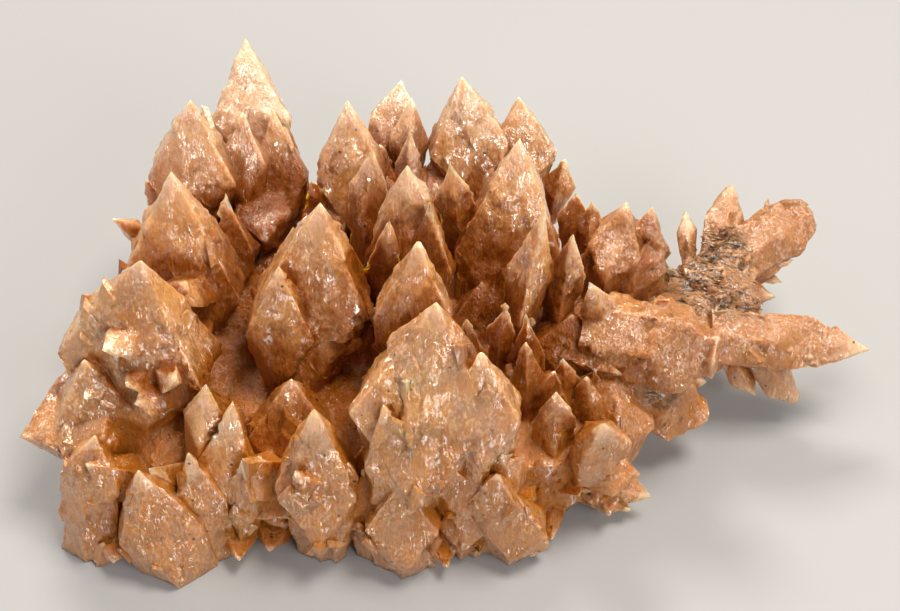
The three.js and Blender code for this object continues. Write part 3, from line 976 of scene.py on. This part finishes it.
@dataclass
class SmallCrystals:
    """Crystals too small and too many for the solid, which step out of the larger ones' sides."""

    name: str
    habit: Habit
    where: Layer
    way: Layer
    per_cm2: float
    smallest_mm: float
    largest_mm: float
    lean: float
    raised: float
    seed: int
    few_large: float = 2.2
    floor_gap_mm: float = 0.2
    lift: float = 0.2
    thick: float = 0.16
    bevel: float = 0.72
    waist: float = 0.05
    foot: float = 0.8
    needle_half: float = 3.4
    kite_thin: tuple[float, ...] = (0.2, 0.2, 0.2, 0.2, 0.45, 0.3, 0.25, 0.3, 0.0)
    needle_thin: tuple[float, ...] = (0.0, 0.0, 0.0, 0.0, 0.4, 0.4, 0.4, 0.4)

    def build(self, body: bpy.types.Object, material: bpy.types.Material) -> bpy.types.Object:
        """Grows the small crystals on the body.

        Args:
            body: What they grow on.
            material: Their finish.

        Returns:
            All of them, as one object.
        """
        grown = bpy.data.objects.new(self.name, body.data.copy())
        bpy.context.scene.collection.objects.link(grown)
        pattern = self.pattern()
        tree = bpy.data.node_groups.new(self.name, "GeometryNodeTree")
        sizes = {
            "Per Square Metre": self.per_cm2 * CM2_IN_M2,
            "Smallest": self.smallest_mm * MM,
            "Largest": self.largest_mm * MM,
            "Lean": self.lean,
        }
        made = start_tree(tree, sizes)
        density = sum_up(tree, "MULTIPLY", read_layer(tree, self.where), made.outputs["Per Square Metre"])
        sockets = {"Mesh": made.outputs["Geometry"], "Density": density, "Seed": self.seed}
        points = add_node(tree, "GeometryNodeDistributePointsOnFaces", sockets)
        sockets = {"Geometry": points.outputs["Points"], "Name": Layer.THIN.value}
        bare = add_node(tree, "GeometryNodeRemoveAttribute", sockets).outputs["Geometry"]
        chance = add_node(tree, "FunctionNodeRandomValue", {2: 0.0, 3: 1.0, "Seed": self.seed}).outputs[1]
        few_large = sum_up(tree, "POWER", chance, self.few_large)
        sockets = {"Value": few_large, 3: made.outputs["Smallest"], 4: made.outputs["Largest"]}
        size = add_node(tree, "ShaderNodeMapRange", sockets).outputs["Result"]
        sockets = {
            "Points": bare,
            "Instance": add_node(tree, "GeometryNodeObjectInfo", {"Object": pattern}).outputs["Geometry"],
            "Rotation": self.facing(tree, points.outputs["Normal"], made.outputs["Lean"]),
            "Scale": size,
        }
        placed = add_node(tree, "GeometryNodeInstanceOnPoints", sockets).outputs["Instances"]
        end_tree(tree, placed, material)
        bake_tree(grown, tree, sizes)
        bpy.data.objects.remove(pattern)
        self.keep_above_floor(grown.data)
        grown.data.shade_flat()
        return grown

    def facing(
        self, tree: bpy.types.NodeTree, normal: bpy.types.NodeSocket, lean: bpy.types.NodeSocket
    ) -> bpy.types.NodeSocket:
        """Turns each crystal so that its front faces outwards and its tip the way of growth.

        Args:
            tree: The geometry tree.
            normal: The direction of the surface under it.
            lean: How far its front may lean aside.

        Returns:
            The rotation.
        """
        most = add_node(tree, "ShaderNodeCombineXYZ", {axis: lean for axis in range(3)}).outputs[0]
        sockets = {0: scaled(tree, most, -1.0), 1: most, "Seed": self.seed}
        aside = add_node(tree, "FunctionNodeRandomValue", sockets, data_type="FLOAT_VECTOR").outputs[0]
        sockets = {"Vector": sum_up_vectors(tree, "ADD", normal, aside)}
        flat = add_node(tree, "FunctionNodeAlignRotationToVector", sockets, axis="X").outputs[0]
        sockets = {"Rotation": flat, "Vector": read_layer(tree, self.way, "FLOAT_VECTOR")}
        turned = add_node(tree, "FunctionNodeAlignRotationToVector", sockets, axis="Z", pivot_axis="X")
        return turned.outputs[0]

    def keep_above_floor(self, mesh: bpy.types.Mesh) -> None:
        """Lifts what would hang below the base to just above it."""
        places = vectors_of(mesh, "co")
        places[:, 2] = np.maximum(places[:, 2], self.floor_gap_mm * MM)
        move_to(mesh, places)

    def pattern(self) -> bpy.types.Object:
        """Builds one crystal of width one, its tip up and its front facing along X.

        Returns:
            The crystal, as an object for the tree to repeat.
        """
        corners, faces, thin = self.kite() if self.habit is Habit.KITE else self.needle()
        mesh = bpy.data.meshes.new("pattern")
        mesh.from_pydata(corners, [], faces)
        mesh.attributes.new(Layer.THIN.value, "FLOAT", "POINT").data.foreach_set("value", thin)
        pattern = bpy.data.objects.new("pattern", mesh)
        bpy.context.scene.collection.objects.link(pattern)
        return pattern

    def kite(self) -> tuple[list[tuple[float, ...]], list[tuple[int, ...]], list[float]]:
        """Gives the corners, faces and thinness of a flat kite with a bevelled front."""
        waist, bevel = self.waist, self.bevel
        ends = [(0.0, 1.0), (0.5, waist), (0.0, -self.foot), (-0.5, waist)]
        rim = [(self.lift * z - self.thick, y, z) for y, z in ends]
        top = [(self.lift * z + self.raised, y * bevel, waist + (z - waist) * bevel) for y, z in ends]
        corners = rim + top + [(-0.5, 0.0, 0.0)]
        faces = [(4, 7, 6, 5)]
        for k in range(4):
            following = (k + 1) % 4
            faces.append((k, 4 + k, 4 + following, following))
            faces.append((k, following, 8))
        return corners, faces, list(self.kite_thin)

    def needle(self) -> tuple[list[tuple[float, ...]], list[tuple[int, ...]], list[float]]:
        """Gives the corners, faces and thinness of a needle with four sides and a slanting end."""
        sides = [(0.5, 0.0), (0.0, 0.5), (-0.5, 0.0), (0.0, -0.5)]
        below = [(x + self.raised - 0.5, y, -self.needle_half) for x, y in sides]
        above = [(x + self.raised, y, self.needle_half + x) for x, y in sides]
        faces = [(3, 2, 1, 0), (4, 5, 6, 7)]
        for k in range(4):
            following = (k + 1) % 4
            faces.append((k, following, 4 + following, 4 + k))
        return below + above, faces, list(self.needle_thin)


@dataclass(frozen=True)
class Lamp:
    """A square soft light: where it hangs and how long its sides are, in metres, and its power."""

    name: str
    place: tuple[float, float, float]
    side: float
    watts: float
    colour: str


@dataclass
class Studio:
    """A pale floor, a soft key light from above, others around the specimen, and the camera."""

    distance_mm: float = 450.0
    height_degrees: float = 50.0
    target_mm: tuple[float, float, float] = (0.0, 0.0, 40.0)
    focal_px: float = 1761.0
    frame_px: int = 900
    sensor_mm: float = 36.0
    nearest_m: float = 0.01
    floor_m: float = 6.0
    sky: str = "F1EFEB"
    sky_strength: float = 0.22
    lamps: tuple[Lamp, ...] = (
        Lamp("key", (0.26, -0.05, 0.98), 0.3, 8.4, "FFF8EE"),
        Lamp("back", (-0.2, 0.52, 0.85), 0.3, 7.0, "FFF8EE"),
        Lamp("rim", (0.72, 0.3, 0.36), 0.24, 1.2, "FFFFFF"),
        Lamp("window", (0.42, -0.64, 0.55), 0.4, 3.5, "FFFFFF"),
        Lamp("fill", (-0.75, -0.2, 0.5), 0.8, 2.2, "F2F4FF"),
    )

    def build(self, paper: bpy.types.Material) -> None:
        """Builds the floor, the lights and the camera.

        Args:
            paper: The floor's finish.
        """
        self.add_floor(paper)
        for lamp in self.lamps:
            self.add_light(lamp)
        self.add_sky()
        self.add_camera()
        self.set_film()

    def set_film(self) -> None:
        """Shows colours as they are, without the highlights' bleaching."""
        bpy.context.scene.view_settings.view_transform = "Standard"
        bpy.context.scene.view_settings.look = "None"

    def add_floor(self, paper: bpy.types.Material) -> None:
        """Lays the floor."""
        half = self.floor_m / 2
        corners = [(-half, -half, 0), (half, -half, 0), (half, half, 0), (-half, half, 0)]
        mesh = bpy.data.meshes.new("floor")
        mesh.from_pydata(corners, [], [(0, 1, 2, 3)])
        mesh.materials.append(paper)
        floor = bpy.data.objects.new("floor", mesh)
        bpy.context.scene.collection.objects.link(floor)

    def add_light(self, lamp: Lamp) -> None:
        """Hangs a light that shines on the specimen."""
        light = bpy.data.lights.new(lamp.name, "AREA")
        light.size = lamp.side
        light.energy = lamp.watts
        light.color = linear(lamp.colour)[:3]
        hung = bpy.data.objects.new(lamp.name, light)
        hung.location = lamp.place
        away = Vector(lamp.place) - Vector(self.target_mm) * MM
        hung.rotation_euler = away.to_track_quat("Z", "Y").to_euler()
        bpy.context.scene.collection.objects.link(hung)

    def add_sky(self) -> None:
        """Surrounds the scene with weak, even light."""
        world = bpy.data.worlds.new("studio")
        world.use_nodes = True
        back = world.node_tree.nodes["Background"]
        back.inputs["Color"].default_value = linear(self.sky)
        back.inputs["Strength"].default_value = self.sky_strength
        bpy.context.scene.world = world

    def add_camera(self) -> None:
        """Sets the camera at the photograph's viewing angle."""
        camera = bpy.data.cameras.new("camera")
        camera.sensor_width = self.sensor_mm
        camera.lens = self.focal_px / self.frame_px * self.sensor_mm
        camera.clip_start = self.nearest_m
        rise = math.radians(self.height_degrees)
        back = Vector((0.0, -math.cos(rise), math.sin(rise)))
        eye = bpy.data.objects.new("camera", camera)
        eye.location = Vector(self.target_mm) * MM + back * self.distance_mm * MM
        eye.rotation_euler = back.to_track_quat("Z", "Y").to_euler()
        bpy.context.scene.collection.objects.link(eye)
        bpy.context.scene.camera = eye


def report(piece: bpy.types.Object) -> None:
    """Logs a finished piece and its size."""
    faces = len(piece.data.polygons)
    triangles = sum(len(face.vertices) - 2 for face in piece.data.polygons)
    LOG.info("%s: %d faces, %d triangles", piece.name, faces, triangles)


def main() -> None:
    """Builds the specimen's looks and the studio around it."""
    logging.basicConfig(level=logging.INFO, format="%(name)s %(message)s")
    # Without a seed, the noise vectors depend on the clock.
    noise.seed_set(NOISE_SEED)
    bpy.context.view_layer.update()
    calcite = CalciteFinish().build()
    small_calcite = CalciteFinish("small_honey_calcite", scatter=0.0).build()
    body = ClusterBody(GrowthField()).build(calcite)
    plates = SmallCrystals(
        name="calcite_plates",
        habit=Habit.KITE,
        where=Layer.DENSITY,
        way=Layer.GROWTH,
        per_cm2=2.2,
        smallest_mm=1.6,
        largest_mm=8.0,
        lean=0.16,
        raised=0.03,
        seed=11,
        few_large=2.6,
    ).build(body, small_calcite)
    fibres = SmallCrystals(
        name="calcite_fibres",
        habit=Habit.FIBRE,
        where=Layer.FIBRES,
        way=Layer.LIE,
        per_cm2=80.0,
        smallest_mm=0.22,
        largest_mm=0.55,
        lean=0.1,
        raised=-0.1,
        seed=23,
    ).build(body, small_calcite)
    for piece in (body, plates, fibres):
        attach(piece, "root")
        report(piece)
    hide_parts(NODE)
    Studio().build(PaperFinish().build())


if __name__ == "__main__":
    main()
